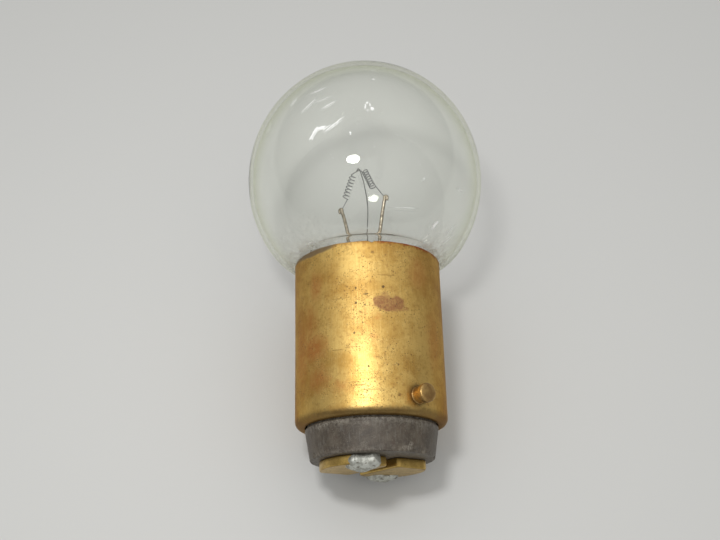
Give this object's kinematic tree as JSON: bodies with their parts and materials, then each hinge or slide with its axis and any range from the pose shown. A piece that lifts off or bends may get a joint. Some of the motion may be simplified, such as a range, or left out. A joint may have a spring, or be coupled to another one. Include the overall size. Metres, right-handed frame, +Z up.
{
  "type": "headlight bulb",
  "caption": "Clear glass globe bulb with a V-shaped coiled filament on a brass bayonet base with side pins and twin end contacts.",
  "frame": {"origin": "the middle of the lamp's footprint, on the surface that it lies on", "axes": "+Z up; the lamp's axis runs along +Y from the contacts to the globe and rises 11 degrees towards the globe"},
  "size_m": [0.0332, 0.06, 0.0333],
  "materials": {
    "shell_brass": "aged, stained, satin",
    "pin_brass": "aged, dull",
    "contact_brass": "aged, rubbed",
    "insulator": "matt, dusty",
    "solder": "dull, lumpy",
    "cement": "rough, crumbly",
    "bulb_glass": "clear, dusty near the neck",
    "stem_glass": "clear",
    "copper_wire": "drawn wire, tarnished",
    "seal_wire": "drawn wire, oxidised",
    "nickel_wire": "drawn wire",
    "molybdenum_wire": "drawn wire, dark",
    "tungsten": "coiled wire"
  },
  "bodies": {
    "root": {"base_shell": "shell_brass", "bayonet_pin_1": "pin_brass", "bayonet_pin_2": "pin_brass", "insulator": "insulator", "contact_plate_1": "contact_brass", "contact_plate_2": "contact_brass", "contact_solder_1": "solder", "contact_solder_2": "solder", "basing_cement": "cement", "glass_bulb": "bulb_glass", "stem": "stem_glass", "exhaust_tube": "stem_glass", "lead_outer_1": "copper_wire", "lead_outer_2": "copper_wire", "lead_seal_1": "seal_wire", "lead_seal_2": "seal_wire", "lead_inner_1": "nickel_wire", "lead_inner_2": "nickel_wire", "support_wire": "molybdenum_wire", "filament": "tungsten"}
  },
  "joints": []
}
